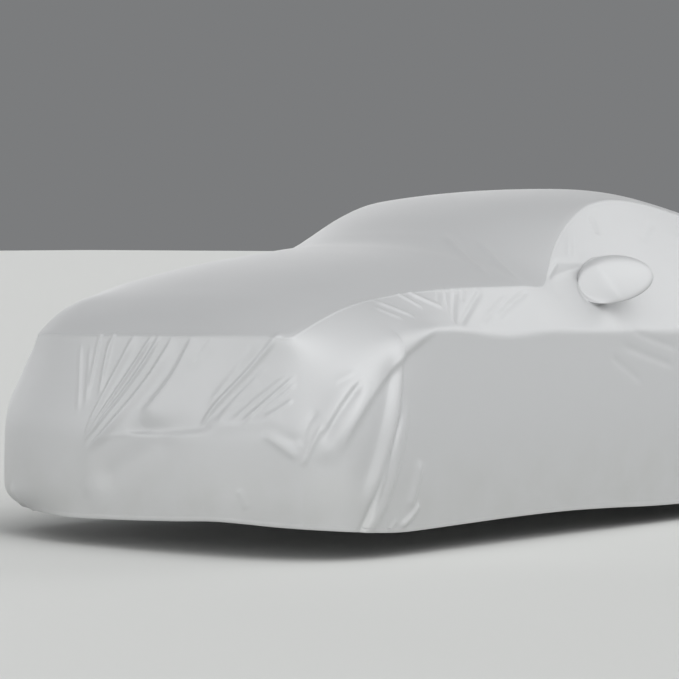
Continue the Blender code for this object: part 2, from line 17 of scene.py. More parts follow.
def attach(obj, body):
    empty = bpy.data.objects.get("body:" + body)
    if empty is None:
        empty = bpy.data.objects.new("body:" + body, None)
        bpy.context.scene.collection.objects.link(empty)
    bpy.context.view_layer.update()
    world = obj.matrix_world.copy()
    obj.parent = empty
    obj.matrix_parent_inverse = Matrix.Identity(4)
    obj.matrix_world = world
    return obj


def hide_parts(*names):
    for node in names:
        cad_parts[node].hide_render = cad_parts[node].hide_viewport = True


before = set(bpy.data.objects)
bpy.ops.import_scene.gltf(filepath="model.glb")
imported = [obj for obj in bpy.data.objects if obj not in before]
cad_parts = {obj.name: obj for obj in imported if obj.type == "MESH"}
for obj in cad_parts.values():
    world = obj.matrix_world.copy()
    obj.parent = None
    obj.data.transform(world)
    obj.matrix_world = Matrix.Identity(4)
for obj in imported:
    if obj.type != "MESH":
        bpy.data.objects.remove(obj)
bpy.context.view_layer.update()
scene = bpy.context.scene

# ---------------------------------------------------------------- viewpoint, floor and light
# The cover is seen from low down, twelve metres off its left front corner, through a long lens. It hangs over
# a plain pale floor, under eight wide soft lamps, the strongest near the viewpoint, and an even room light.
ORIGIN = np.array([0.0, 2.65, 1.377])
VIEW_CENTRE = (0.3, 1.0)
VIEW_DISTANCE = 12.0
VIEW_HEIGHT = 1.20
VIEW_AZIMUTH = 39.25      # of the eye round the centre, in degrees from straight ahead towards the left side
VIEW_YAW = 0.44           # how far the look turns past the centre, and down
VIEW_PITCH = -2.05
FOCAL_PIXELS = 3064.0
PHOTO_PIXELS = 679
SENSOR_MM = 36.0
FLOOR_SIDE = 240.0
FLOOR_HEX = "#cfd0ce"
FLOOR_ROUGHNESS = 0.9
ROOM_HEX = "#e2e4e6"
ROOM_STRENGTH = 0.26


def rows_of(names, *rows):
    """The rows of a table, with its columns by name."""
    return [dict(zip(names, row)) for row in rows]


# The way each lamp stands from the cover, its strength, and how wide it is in the sky, in degrees.
LAMPS = rows_of(
    ("x", "y", "z", "strength", "angle"),
    (0.68, -0.57, 0.47, 1.28, 60.0),
    (0.62, 0.00, 0.79, 1.42, 60.0),
    (-0.50, -0.86, 0.10, 0.86, 30.0),
    (0.15, -0.87, 0.47, 0.42, 60.0),
    (-0.99, 0.00, 0.10, 0.34, 30.0),
    (-0.76, 0.64, 0.10, 0.36, 30.0),
    (0.15, 0.87, 0.47, 0.26, 30.0),
    (0.44, 0.76, 0.47, 0.42, 30.0),
)


def linear(hex_colour):
    """The linear RGBA of an sRGB hex colour."""
    parts = [int(hex_colour[i:i + 2], 16) / 255 for i in (1, 3, 5)]
    return [p / 12.92 if p <= 0.04045 else ((p + 0.055) / 1.055) ** 2.4 for p in parts] + [1.0]


def placed(obj):
    """The object, linked into the scene."""
    scene.collection.objects.link(obj)
    return obj


azimuth = math.radians(VIEW_AZIMUTH)
yaw = azimuth + math.radians(VIEW_YAW)
pitch = math.radians(VIEW_PITCH)
eye = np.array([VIEW_CENTRE[0] + VIEW_DISTANCE * math.sin(azimuth),
                VIEW_CENTRE[1] - VIEW_DISTANCE * math.cos(azimuth), VIEW_HEIGHT]) - ORIGIN
forward = Vector((-math.sin(yaw) * math.cos(pitch), math.cos(yaw) * math.cos(pitch), math.sin(pitch)))
right = Vector((math.cos(yaw), math.sin(yaw), 0.0))
upward = right.cross(forward)
lens = bpy.data.cameras.new("viewpoint")
lens.sensor_width = SENSOR_MM
lens.lens = SENSOR_MM * FOCAL_PIXELS / PHOTO_PIXELS
lens.clip_end = FLOOR_SIDE
camera = placed(bpy.data.objects.new("viewpoint", lens))
camera.matrix_world = Matrix.Translation(eye) @ Matrix((right, upward, -forward)).transposed().to_4x4()
scene.camera = camera

half_floor = FLOOR_SIDE / 2
floor_mesh = bpy.data.meshes.new("floor")
floor_corners = [(x * half_floor, y * half_floor, -ORIGIN[2])
                 for x, y in ((-1, -1), (1, -1), (1, 1), (-1, 1))]
floor_mesh.from_pydata(floor_corners, [], [(0, 1, 2, 3)])
floor = placed(bpy.data.objects.new("floor", floor_mesh))
floor_paint = bpy.data.materials.new("matt_studio_floor")
floor_paint.use_nodes = True
floor_shader = floor_paint.node_tree.nodes["Principled BSDF"]
floor_shader.inputs["Base Color"].default_value = linear(FLOOR_HEX)
floor_shader.inputs["Roughness"].default_value = FLOOR_ROUGHNESS
floor_mesh.materials.append(floor_paint)

room = bpy.data.worlds.new("room_light")
room.use_nodes = True
room.node_tree.nodes["Background"].inputs["Color"].default_value = linear(ROOM_HEX)
room.node_tree.nodes["Background"].inputs["Strength"].default_value = ROOM_STRENGTH
scene.world = room
scene.view_settings.view_transform = "Standard"
for number, row in enumerate(LAMPS):
    lamp_light = bpy.data.lights.new(f"soft_lamp_{number}", "SUN")
    lamp_light.energy = row["strength"]
    lamp_light.angle = math.radians(row["angle"])
    lamp = placed(bpy.data.objects.new(f"soft_lamp_{number}", lamp_light))
    lamp.rotation_mode = "QUATERNION"
    lamp.rotation_quaternion = Vector((row["x"], row["y"], row["z"])).to_track_quat("Z", "Y")

# ---------------------------------------------------------------- the drape
# Every panel is cut from one draped surface: a top panel within the seam that runs along the edges of the
# bonnet, the pillars, the roof rails and the boot lid, and a skirt that hangs from that seam to the hem.


def columns_of(names, *rows):
    """The columns of a table, by name."""
    return dict(zip(names, np.array(rows).T))


# The seam down the left side, from the front corner of the bonnet to the back corner of the boot lid.
CREST = columns_of(
    ("x", "y", "z"),
    (0.652, 0.152, 0.812),
    (0.658, 0.215, 0.838),
    (0.664, 0.290, 0.868),
    (0.680, 0.395, 0.906),
    (0.702, 0.515, 0.935),
    (0.735, 0.640, 0.960),
    (0.775, 0.800, 0.975),
    (0.805, 0.970, 0.983),
    (0.820, 1.150, 0.984),
    (0.818, 1.340, 0.986),
    (0.800, 1.510, 0.986),
    (0.760, 1.585, 1.020),
    (0.700, 1.694, 1.095),
    (0.655, 1.800, 1.165),
    (0.620, 1.930, 1.240),
    (0.590, 2.092, 1.302),
    (0.567, 2.300, 1.330),
    (0.560, 2.520, 1.318),
    (0.560, 2.780, 1.276),
    (0.560, 3.080, 1.218),
    (0.575, 3.400, 1.154),
    (0.605, 3.720, 1.096),
    (0.650, 4.020, 1.048),
    (0.700, 4.300, 1.010),
    (0.715, 4.520, 0.985),
    (0.680, 4.660, 0.965),
)
# The middle line of the top panel.
PROFILE = columns_of(
    ("y", "z"),
    (0.055, 0.812), (0.120, 0.866), (0.250, 0.934), (0.400, 0.985), (0.600, 1.038), (0.800, 1.077),
    (1.000, 1.106), (1.200, 1.130), (1.350, 1.150), (1.500, 1.190), (1.750, 1.268), (2.000, 1.328),
    (2.250, 1.363), (2.500, 1.377), (2.650, 1.377), (2.850, 1.354), (3.050, 1.322), (3.250, 1.287),
    (3.450, 1.250), (3.690, 1.208), (3.900, 1.170), (4.100, 1.136), (4.300, 1.092), (4.500, 1.047),
    (4.660, 1.005), (4.750, 0.960),
)
# How far the rows of the top panel bow forward at their middle, by the y of their ends, and how squarely.
BOW = columns_of(
    ("y", "bow", "squareness"),
    (0.160, 0.105, 3.6),
    (0.500, 0.080, 2.4),
    (1.200, 0.070, 2.2),
    (1.694, 0.190, 2.2),
    (2.300, 0.080, 2.2),
    (3.000, 0.000, 2.2),
    (4.300, -0.030, 2.4),
    (4.660, -0.090, 3.8),
)
CROWN_SQUARENESS = 2.5
# The rings that shape the skirt, from the widest part of its shoulder to the hem. Each is a rectangle with
# rounded ends, and the profile down the skirt is rounded at it by the last two lengths.
RINGS = rows_of(
    ("half_width", "front_y", "back_y", "end_length", "squareness", "z_front", "z_side", "z_back",
     "round_end", "round_side"),
    (0.925, 0.030, 4.772, 0.70, 2.9, 0.700, 0.808, 0.840, 0.100, 0.020),
    (0.943, -0.003, 4.800, 0.50, 3.1, 0.470, 0.560, 0.560, 0.050, 0.150),
    (0.942, 0.000, 4.795, 0.48, 3.1, 0.205, 0.250, 0.240, 0.085, 0.100),
    (0.941, 0.003, 4.785, 0.50, 3.1, 0.118, 0.096, 0.110, 0.0, 0.0),
)
BUMPER_RING = 1
# How the shoulder and the hem rise, and the hem tucks in, by the run s round the line of the bumper from its
# middle, positive to the left side.
SHOULDER = columns_of(
    ("s", "rise"),
    (-4.40, 0.000), (-3.40, -0.020), (-2.60, -0.010), (-2.07, 0.000), (1.10, 0.000), (1.26, 0.014),
    (1.37, 0.022), (1.51, 0.025), (1.65, 0.012), (1.76, -0.004), (1.88, -0.012), (1.98, -0.010),
    (2.12, -0.001), (2.34, -0.004), (2.62, -0.012), (2.83, -0.018), (3.40, -0.022), (4.40, 0.000),
)
HEM = columns_of(
    ("s", "rise", "tuck"),
    (-1.60, 0.000, 0.000), (-1.25, -0.014, 0.010), (-1.05, -0.012, 0.030), (-0.86, -0.006, 0.046),
    (-0.72, -0.005, 0.044), (-0.55, -0.008, 0.020), (-0.40, -0.012, 0.004), (-0.10, -0.006, 0.000),
    (0.20, 0.006, 0.000), (0.42, 0.016, 0.000), (0.52, 0.014, 0.000), (0.66, 0.008, 0.000),
    (0.90, 0.002, 0.000), (1.25, 0.000, 0.000), (1.60, 0.004, 0.000), (1.87, 0.007, 0.000),
    (2.27, 0.005, 0.000), (2.50, -0.002, 0.000), (2.84, -0.016, 0.000), (3.40, -0.024, 0.000),
    (4.20, -0.010, 0.000), (4.80, 0.000, 0.000),
)
# Places where the form inside pushes the cloth out or lets it sink: where, how far round, and by how much.
SWELLS = rows_of(
    ("x", "y", "z", "radius", "dx", "dz"),
    (-0.60, 0.29, 0.900, 0.15, 0.000, 0.014),
    (-0.67, 0.14, 0.812, 0.11, 0.000, -0.016),
    (-0.86, 0.14, 0.620, 0.15, 0.020, 0.000),
    (-0.38, 0.07, 0.812, 0.28, 0.000, -0.009),
    (0.45, 0.08, 0.812, 0.24, 0.000, 0.006),
)
# The front corners, where the cloth turns softly from the front to the wings.
CORNER_MIDDLE = (0.835, 0.215, 0.690)
CORNER_RADIUS = 0.190
CORNER_PASSES = 24
TUCK_DROP = 1.1           # how far the cloth above a tucked hem stands straight, as a share of the tuck
SIDE_BULGE = 0.012        # of the length from seam to shoulder
SWELL_PARTS = (0.25, 0.5, 0.75)
MOST_ROUNDED = 0.45       # of a length between two rings
BLEND = 6                 # points across each rounding of the skirt's profile
# The distance between the rows of points along the seam, up to each y.
STEPS = ((0.70, 0.013), (1.20, 0.020), (1.45, 0.028), (2.10, 0.019), (5.00, 0.038))
LINE_POINTS = 4000        # of a line before its points are spaced out
ACROSS = 104              # steps across the top panel, and down the skirt
DOWN = 64
SMOOTH_PASSES = 5         # that round the seams, and how many points to each side they move
SMOOTH_REACH = 5
SMOOTH_FADE = 0.75        # of the rounding, from one point to the next
SMOOTH_WEIGHT = 0.6
CREST_SOFTNESS = 0.35     # of the seam along the top, as a share of the corners'
HEM_REACH = 12            # steps above the hem over which the rounding fades out


def run_along(points):
    """The distance along a line of points, at each of them."""
    return np.concatenate([[0], np.cumsum(np.linalg.norm(np.diff(points, axis=0), axis=1))])


def eased_between(part, before, after, slope_before, slope_after):
    """The cubic curve from one value to the next, by the part of the way and the slopes at both."""
    low = 2 * part**3 - 3 * part**2 + 1
    rise = part**3 - 2 * part**2 + part
    fall = part**3 - part**2
    return low * before + (1 - low) * after + rise * slope_before + fall * slope_after


def curve(known, values, at):
    """A smooth curve through the values at the known places."""
    slopes = np.gradient(values, known)
    at = np.clip(at, known[0], known[-1])
    cell = np.clip(np.searchsorted(known, at, side="right") - 1, 0, len(known) - 2)
    wide = known[cell + 1] - known[cell]
    part = (at - known[cell]) / wide
    return eased_between(part, values[cell], values[cell + 1], slopes[cell] * wide, slopes[cell + 1] * wide)


def ease(part):
    """A soft step from 0 to 1."""
    part = np.clip(part, 0, 1)
    return part * part * (3 - 2 * part)


def crest_line():
    """The seam down one side, in steps that are short at the front and beside the mirror pocket."""
    run = run_along(np.stack(list(CREST.values()), axis=1))
    dense = np.linspace(0, run[-1], LINE_POINTS)
    line = np.stack([curve(run, CREST[axis], dense) for axis in "xyz"], axis=1)
    until, step = np.array(STEPS).T
    count = np.concatenate([[0], np.cumsum(np.diff(dense) / step[np.searchsorted(until, line[1:, 1])])])
    wanted = np.linspace(0, count[-1], int(np.ceil(count[-1])) + 1)
    return np.stack([np.interp(wanted, count, line[:, axis]) for axis in range(3)], axis=1)


def top_rows(ends):
    """One bowed row of points across the cover for each point of the seam."""
    across = np.linspace(-1, 1, ACROSS + 1)[None, :]
    bow = curve(BOW["y"], BOW["bow"], ends[:, 1])
    square = curve(BOW["y"], BOW["squareness"], ends[:, 1])
    y = ends[:, 1:2] - bow[:, None] * (1 - np.abs(across) ** square[:, None])
    middle = curve(PROFILE["y"], PROFILE["z"], ends[:, 1] - bow)
    z = ends[:, 2:] + (middle - ends[:, 2])[:, None] * (1 - np.abs(across) ** CROWN_SQUARENESS)
    return np.stack([ends[:, :1] * across, y, z], axis=2)


def ring_points(ring, loop, ends):
    """The ring's point below each point of the seam, and the radius that rounds the skirt there."""
    half, length, square = ring["half_width"], ring["end_length"], ring["squareness"]
    corner = 0.5 ** (1 / square)
    across = 2 * loop[:, 1] / ACROSS - 1
    side = np.abs(across) == 1
    seam_y = ends[loop[:, 0], 1]
    front_y, back_y = ends[0, 1], ends[-1, 1]
    is_back = seam_y > ends[:, 1].mean()
    behind = np.where(is_back, back_y - seam_y, seam_y - front_y)
    straight = np.where(is_back, back_y - (ring["back_y"] - length), ring["front_y"] + length - front_y)
    start = length * (1 - corner)
    along = start + behind * (length - start) / straight
    along = np.where(behind > straight, length + behind - straight, along)
    x_side = half * (1 - np.clip(1 - along / length, 0, 1) ** square) ** (1 / square)
    x_end = half * corner * np.abs(across)
    d_end = length * (1 - (1 - (x_end / half) ** square) ** (1 / square))
    x = np.sign(across) * np.where(side, x_side, x_end)
    away = np.where(side, along, d_end)
    y = np.where(is_back, ring["back_y"] - away, ring["front_y"] + away)
    turn = ease(away / length)
    z_end = np.where(is_back, ring["z_back"], ring["z_front"])
    rounding = ring["round_end"] + (ring["round_side"] - ring["round_end"]) * turn
    return np.stack([x, y, z_end + (ring["z_side"] - z_end) * turn], axis=1), rounding


def skirt_columns(seam, rings):
    """For every point of the seam, evenly spaced points down a rounded profile through the rings."""
    corners = [seam] + [points for points, _ in rings]
    lengths = [np.linalg.norm(b - a, axis=1) for a, b in zip(corners, corners[1:])]
    path = [seam]
    first = corners[1] - corners[0]
    level = np.hypot(first[:, 0], first[:, 1])
    outward = np.stack([-first[:, 2] * corners[1][:, 0], np.zeros(len(seam)), level], axis=1)
    outward /= np.linalg.norm(outward, axis=1, keepdims=True)
    clear = 1 - np.minimum(rings[0][1] / lengths[0], MOST_ROUNDED)
    for part in SWELL_PARTS:
        swell = 4 * part * (1 - part) * SIDE_BULGE * lengths[0]
        path.append(seam + first * (part * clear)[:, None] + outward * swell[:, None])
    for k in range(1, len(corners) - 1):
        reach = np.minimum(rings[k - 1][1], MOST_ROUNDED * np.minimum(lengths[k - 1], lengths[k]))[:, None]
        before = corners[k] + (corners[k - 1] - corners[k]) / lengths[k - 1][:, None] * reach
        after = corners[k] + (corners[k + 1] - corners[k]) / lengths[k][:, None] * reach
        for part in np.linspace(0, 1, BLEND):
            path.append((1 - part) ** 2 * before + 2 * part * (1 - part) * corners[k] + part**2 * after)
    path.append(corners[-1])
    columns = []
    for line in np.stack(path, axis=1):
        run = run_along(line)
        even = np.linspace(0, run[-1], DOWN + 1)
        columns.append(np.stack([np.interp(even, run, line[:, axis]) for axis in range(3)], axis=1))
    return np.array(columns)


def softened(points, edges, near, passes):
    """Moves each point towards the middle of its neighbours, by its nearness to a seam or a corner."""
    degree = np.bincount(edges.ravel(), minlength=len(points))[:, None]
    for _ in range(passes):
        total = np.zeros_like(points)
        np.add.at(total, edges[:, 0], points[edges[:, 1]])
        np.add.at(total, edges[:, 1], points[edges[:, 0]])
        points = points + (total / degree - points) * (near * SMOOTH_WEIGHT)[:, None]
    return points


ends = crest_line()
LONG = len(ends) - 1      # steps along the seam, from front to back
top = top_rows(ends)
# The seam as one closed loop of places in the top panel's rows: front, left side, back and right side.
loop = np.array([(0, c) for c in range(ACROSS)] + [(r, ACROSS) for r in range(LONG)]
                + [(LONG, c) for c in range(ACROSS, 0, -1)] + [(r, 0) for r in range(LONG, 0, -1)])
rings = [ring_points(ring, loop, ends) for ring in RINGS]
# The run s at each point of the loop.
bumper = rings[BUMPER_RING][0]
bumper_run = run_along(np.vstack([bumper, bumper[:1]]))
loop_s = bumper_run[:-1] - bumper_run[ACROSS // 2]
loop_s = np.where(loop_s > bumper_run[-1] / 2, loop_s - bumper_run[-1], loop_s)
# The first ring is the shoulder and the last one is the hem.
rings[0][0][:, 2] += curve(SHOULDER["s"], SHOULDER["rise"], loop_s)
rings[-1][0][:, 2] += curve(HEM["s"], HEM["rise"], loop_s)
tuck = curve(HEM["s"], HEM["tuck"], loop_s)
rings[-1][0][:, 0] -= np.sign(rings[-1][0][:, 0]) * tuck
rings[-1][0][:, 1] += tuck
rings[-2][0][:, 2] -= tuck * TUCK_DROP
skirt = skirt_columns(top[loop[:, 0], loop[:, 1]], rings)

# One net of points and quads holds both, and its seam and its corners are rounded.
top_index = np.arange(top.shape[0] * top.shape[1]).reshape(top.shape[:2])
low_index = top_index.size + np.arange(len(loop) * DOWN).reshape(len(loop), DOWN)
skirt_index = np.concatenate([top_index[loop[:, 0], loop[:, 1]][:, None], low_index], axis=1)
following = np.roll(skirt_index, -1, axis=0)
quads = np.concatenate([block.reshape(-1, 4) for block in (
    np.stack([top_index[:-1, :-1], top_index[:-1, 1:], top_index[1:, 1:], top_index[1:, :-1]], 2),
    np.stack([skirt_index[:, :-1], skirt_index[:, 1:], following[:, 1:], following[:, :-1]], 2),
)])
edges = np.stack([quads, np.roll(quads, -1, axis=1)], axis=2).reshape(-1, 2)
edges = np.unique(np.sort(edges, axis=1), axis=0)
points = np.concatenate([top.reshape(-1, 3), skirt[:, 1:].reshape(-1, 3)])
# Where each panel of the skirt begins round the loop.
skirt_from = (0, ACROSS, ACROSS + LONG, 2 * ACROSS + LONG)
FRONT_FROM, LEFT_FROM, REAR_FROM, RIGHT_FROM = skirt_from
near_seam = np.zeros(len(points))
near_seam[skirt_index[:, 0]] = CREST_SOFTNESS
near_seam[skirt_index[skirt_from, :]] = 1
for _ in range(SMOOTH_REACH):
    wider = near_seam.copy()
    np.maximum.at(wider, edges[:, 0], near_seam[edges[:, 1]] * SMOOTH_FADE)
    np.maximum.at(wider, edges[:, 1], near_seam[edges[:, 0]] * SMOOTH_FADE)
    near_seam = wider
near_seam[skirt_index[:, 1:]] *= ease((DOWN - np.arange(1, DOWN + 1)) / HEM_REACH)
points = softened(points, edges, near_seam, SMOOTH_PASSES)
away = np.linalg.norm(points * [0, 1, 1] + np.abs(points) * [1, 0, 0] - CORNER_MIDDLE, axis=1)
points = softened(points, edges, np.exp(-((away / CORNER_RADIUS) ** 2)), CORNER_PASSES)
for swell in SWELLS:
    away = np.linalg.norm(points - [swell["x"], swell["y"], swell["z"]], axis=1)
    share = np.exp(-((away / swell["radius"]) ** 2))
    points += share[:, None] * [swell["dx"], 0, swell["dz"]]
# Every point with the way that the cloth faces there.
normals = np.zeros_like(points)
crossed = np.cross(points[quads[:, 2]] - points[quads[:, 0]], points[quads[:, 3]] - points[quads[:, 1]])
for corner in range(4):
    np.add.at(normals, quads[:, corner], crossed)
normals /= np.linalg.norm(normals, axis=1, keepdims=True)
drape = np.concatenate([points, normals], axis=1)

# ---------------------------------------------------------------- the folds
# The skirt is cut with ease, so it falls into folds: tight ones fan out over the front, deep ones gather at
# the corners, and small puckers hang under the seam. Each runs along a bent line by s and z, a ridge if its
# depth is positive, with the widths given above and below the line. Its start has the taper's share of them.
FOLDS = rows_of(
    ("s0", "z0", "s1", "z1", "bend", "above", "below", "depth", "taper"),
    # upright folds beside the far corner
    (-0.353, 0.775, -0.288, 0.500, 0.008, 0.012, 0.016, 0.0036),
    (-0.287, 0.765, -0.252, 0.530, 0.005, 0.016, 0.010, 0.0032),
    (-0.243, 0.590, -0.228, 0.850, 0.003, 0.011, 0.008, 0.0052),
    (-0.186, 0.560, -0.172, 0.800, 0.001, 0.009, 0.014, 0.0046),
    (-0.180, 0.640, -0.138, 0.860, 0.007, 0.009, 0.010, 0.0046),
    # the fan of tight folds that runs down to a point low on the far side
    (-0.250, 0.400, -0.010, 0.830, 0.010, 0.013, 0.024, 0.0081, 0.5),
    (-0.246, 0.396, 0.100, 0.835, 0.004, 0.010, 0.010, 0.0078, 0.5),
    (-0.262, 0.382, 0.145, 0.840, -0.013, 0.012, 0.009, 0.0081, 0.5),
    (-0.250, 0.352, 0.205, 0.820, -0.022, 0.010, 0.042, 0.0101, 0.5),
    (0.030, 0.485, 0.312, 0.818, -0.012, 0.012, 0.050, 0.0095, 1.5),
    (0.290, 0.690, 0.415, 0.810, 0.004, 0.009, 0.020, 0.0019),
    # the second fan, towards the near corner
    (0.355, 0.535, 0.640, 0.815, 0.012, 0.014, 0.026, 0.0039),
    (0.318, 0.460, 0.760, 0.850, 0.020, 0.010, 0.010, 0.0084),
    (0.408, 0.492, 0.635, 0.716, 0.005, 0.009, 0.013, 0.0036),
    (0.410, 0.486, 0.600, 0.662, -0.002, 0.009, 0.013, 0.0026),
    (0.482, 0.500, 0.706, 0.680, 0.005, 0.008, 0.009, 0.0039),
    (0.518, 0.488, 0.728, 0.678, 0.000, 0.008, 0.009, 0.0062),
    (0.600, 0.540, 0.728, 0.650, -0.002, 0.007, 0.008, 0.0039),
    (0.615, 0.518, 0.722, 0.590, -0.004, 0.008, 0.009, 0.0043),
    # the line of the bumper, and the slack under it
    (-0.050, 0.450, 0.450, 0.500, -0.012, 0.075, 0.024, -0.0087, 0.4),
    (-0.215, 0.414, 0.322, 0.476, -0.001, 0.010, 0.012, 0.0011),
    (-0.226, 0.460, -0.224, 0.170, 0.001, 0.070, 0.040, 0.0022),
    (-0.250, 0.250, -0.130, 0.135, -0.004, 0.060, 0.040, 0.0016),
    (0.330, 0.486, 0.705, 0.518, 0.000, 0.030, 0.030, 0.0050),
    (-0.190, 0.240, 0.240, 0.450, 0.007, 0.050, 0.050, -0.0054),
    (0.512, 0.262, 0.550, 0.180, 0.002, 0.018, 0.016, 0.0020),
    (0.610, 0.488, 0.765, 0.430, -0.001, 0.022, 0.014, -0.0040, 1.4),
    (0.606, 0.474, 0.758, 0.370, 0.003, 0.020, 0.014, 0.0054, 1.4),
    (-0.743, 0.210, -0.625, 0.060, 0.000, 0.022, 0.022, 0.0056),
    # the near front corner, from its seam back to the edge of the flat side
    (0.757, 0.415, 0.830, 0.555, 0.015, 0.018, 0.013, -0.0047),
    (0.764, 0.340, 0.848, 0.505, 0.002, 0.012, 0.013, 0.0062),
    (0.838, 0.460, 1.010, 0.676, 0.018, 0.045, 0.012, 0.0045),
    (0.838, 0.425, 1.010, 0.655, 0.012, 0.014, 0.016, -0.0054),
    (0.815, 0.352, 1.040, 0.660, -0.016, 0.026, 0.042, 0.0069),
    (0.889, 0.646, 0.990, 0.687, -0.001, 0.012, 0.008, 0.0009),
    (0.893, 0.632, 0.992, 0.673, 0.000, 0.008, 0.012, -0.0010),
    (0.895, 0.390, 1.470, 0.850, 0.084, 0.170, 0.017, 0.0146),
    (1.015, 0.150, 1.216, 0.845, -0.033, 0.034, 0.011, 0.0134),
    (0.965, 0.200, 1.172, 0.770, -0.007, 0.045, 0.024, -0.0067),
    (0.950, 0.040, 1.200, 0.575, -0.007, 0.014, 0.012, -0.0095),
    (0.968, 0.040, 1.222, 0.590, -0.043, 0.034, 0.020, 0.0112),
    (1.222, 0.165, 1.305, 0.360, -0.008, 0.026, 0.018, 0.0090),
    (1.172, 0.112, 1.300, 0.200, -0.010, 0.013, 0.012, 0.0090),
    (1.110, 0.098, 1.166, 0.146, 0.000, 0.008, 0.009, 0.0034),
    (1.106, 0.080, 1.110, 0.235, 0.000, 0.012, 0.012, 0.0025),
    # gathers under the seam of the near wing
    (1.262, 0.912, 1.312, 0.862, -0.001, 0.009, 0.010, 0.0038),
    (1.290, 0.940, 1.374, 0.872, -0.003, 0.010, 0.009, 0.0054),
    (1.405, 0.970, 1.454, 0.906, -0.001, 0.009, 0.008, 0.0045),
    (1.450, 0.975, 1.556, 0.908, -0.006, 0.010, 0.009, 0.0062),
    (1.545, 0.922, 1.605, 0.975, 0.000, 0.007, 0.007, -0.0025),
    (1.560, 0.880, 1.650, 0.990, 0.000, 0.009, 0.009, -0.0052),
    (1.545, 0.842, 1.705, 0.985, 0.003, 0.010, 0.009, -0.0058),
    (1.680, 0.928, 1.732, 0.980, 0.000, 0.008, 0.008, -0.0027),
    (1.570, 0.836, 1.836, 0.978, -0.005, 0.011, 0.010, -0.0062),
    (1.700, 0.832, 1.975, 0.952, 0.002, 0.011, 0.011, -0.0034),
    (1.805, 0.848, 2.135, 0.970, 0.006, 0.013, 0.012, -0.0040),
    # creases round the foot of the near pillar and over the side window
    (2.330, 1.002, 2.470, 1.072, 0.000, 0.008, 0.007, -0.0045),
    (2.350, 1.006, 2.630, 1.046, 0.006, 0.012, 0.010, 0.0039),
    (2.440, 1.070, 2.630, 1.068, 0.001, 0.012, 0.014, -0.0034),
    (2.540, 1.080, 2.640, 1.190, 0.000, 0.008, 0.008, 0.0018),
    (2.570, 1.080, 2.662, 1.190, -0.002, 0.008, 0.008, 0.0018),
    (2.806, 1.180, 2.840, 1.262, 0.003, 0.007, 0.020, -0.0060),
    (3.100, 1.148, 3.310, 1.238, 0.001, 0.014, 0.012, -0.0025),
    # along the near side, under the mirror pocket
    (2.680, 0.795, 3.050, 0.704, 0.000, 0.018, 0.015, -0.0029),
    (2.590, 0.744, 3.015, 0.634, 0.000, 0.018, 0.015, -0.0031),
    (2.520, 0.702, 2.760, 0.578, 0.002, 0.018, 0.015, -0.0027),
    (3.300, 0.700, 3.650, 0.480, 0.010, 0.035, 0.030, -0.0045),
    # slack between the near side and its rear corner
    (3.960, 0.600, 4.420, 0.770, 0.012, 0.030, 0.022, 0.0056),
    (4.080, 0.430, 4.640, 0.780, 0.020, 0.030, 0.022, 0.0073),
    (4.300, 0.250, 4.700, 0.640, 0.016, 0.034, 0.024, 0.0067),
    (4.420, 0.150, 4.560, 0.300, 0.000, 0.020, 0.018, 0.0045),
    # the rear, with folds that fan in from both corners over the line of its bumper
    (5.420, 0.540, 5.640, 0.930, -0.012, 0.016, 0.024, 0.0090),
    (5.450, 0.510, 5.780, 0.930, -0.014, 0.014, 0.016, 0.0084),
    (5.500, 0.490, 5.920, 0.900, -0.012, 0.014, 0.030, 0.0090),
    (5.420, 0.500, 6.020, 0.470, 0.010, 0.080, 0.028, -0.0090),
    (-6.040, 0.900, -5.660, 0.560, 0.016, 0.016, 0.014, 0.0078),
    (-5.900, 0.930, -5.600, 0.540, 0.012, 0.026, 0.014, 0.0090),
    (-5.720, 0.930, -5.500, 0.540, 0.010, 0.020, 0.014, 0.0078),
    (-6.040, 0.470, -5.440, 0.500, -0.008, 0.030, 0.070, -0.0067),
    # the far side, gathered much as the near one
    (-1.556, 0.908, -1.450, 0.975, -0.006, 0.014, 0.014, 0.0056),
    (-1.650, 0.990, -1.560, 0.880, 0.000, 0.014, 0.014, -0.0052),
    (-1.836, 0.978, -1.570, 0.836, -0.005, 0.015, 0.014, -0.0062),
    (-2.135, 0.970, -1.805, 0.848, 0.006, 0.016, 0.016, -0.0047),
    (-2.490, 1.072, -2.330, 1.002, 0.000, 0.014, 0.014, -0.0045),
    (-3.050, 0.704, -2.680, 0.795, 0.000, 0.020, 0.018, -0.0036),
    (-3.015, 0.634, -2.590, 0.744, 0.000, 0.020, 0.018, -0.0040),
    (-4.420, 0.770, -3.960, 0.600, 0.012, 0.022, 0.030, 0.0056),
    (-4.640, 0.780, -4.080, 0.430, 0.020, 0.022, 0.030, 0.0067),
    # the other three corners
    (4.720, 0.800, 4.960, 0.330, 0.020, 0.028, 0.028, 0.0101),
    (4.960, 0.760, 5.090, 0.250, 0.010, 0.024, 0.024, -0.0112),
    (5.160, 0.200, 5.280, 0.700, 0.010, 0.024, 0.024, 0.0101),
    (5.420, 0.480, 5.750, 0.760, -0.010, 0.022, 0.022, -0.0067),
    (-5.280, 0.700, -5.150, 0.220, 0.010, 0.024, 0.024, 0.0101),
    (-5.100, 0.280, -4.980, 0.780, 0.010, 0.024, 0.024, -0.0112),
    (-4.930, 0.350, -4.700, 0.800, 0.020, 0.028, 0.028, 0.0090),
    (-1.460, 0.850, -0.900, 0.390, 0.084, 0.050, 0.018, 0.0095),
    (-1.215, 0.770, -1.060, 0.300, -0.030, 0.024, 0.012, 0.0090),
    (-1.215, 0.560, -0.980, 0.040, -0.012, 0.014, 0.022, 0.0101),
    (-1.192, 0.600, -0.950, 0.060, -0.006, 0.012, 0.014, -0.0090),
)
FOLD_FADE = 0.22          # share of a fold's length over which each of its ends fades


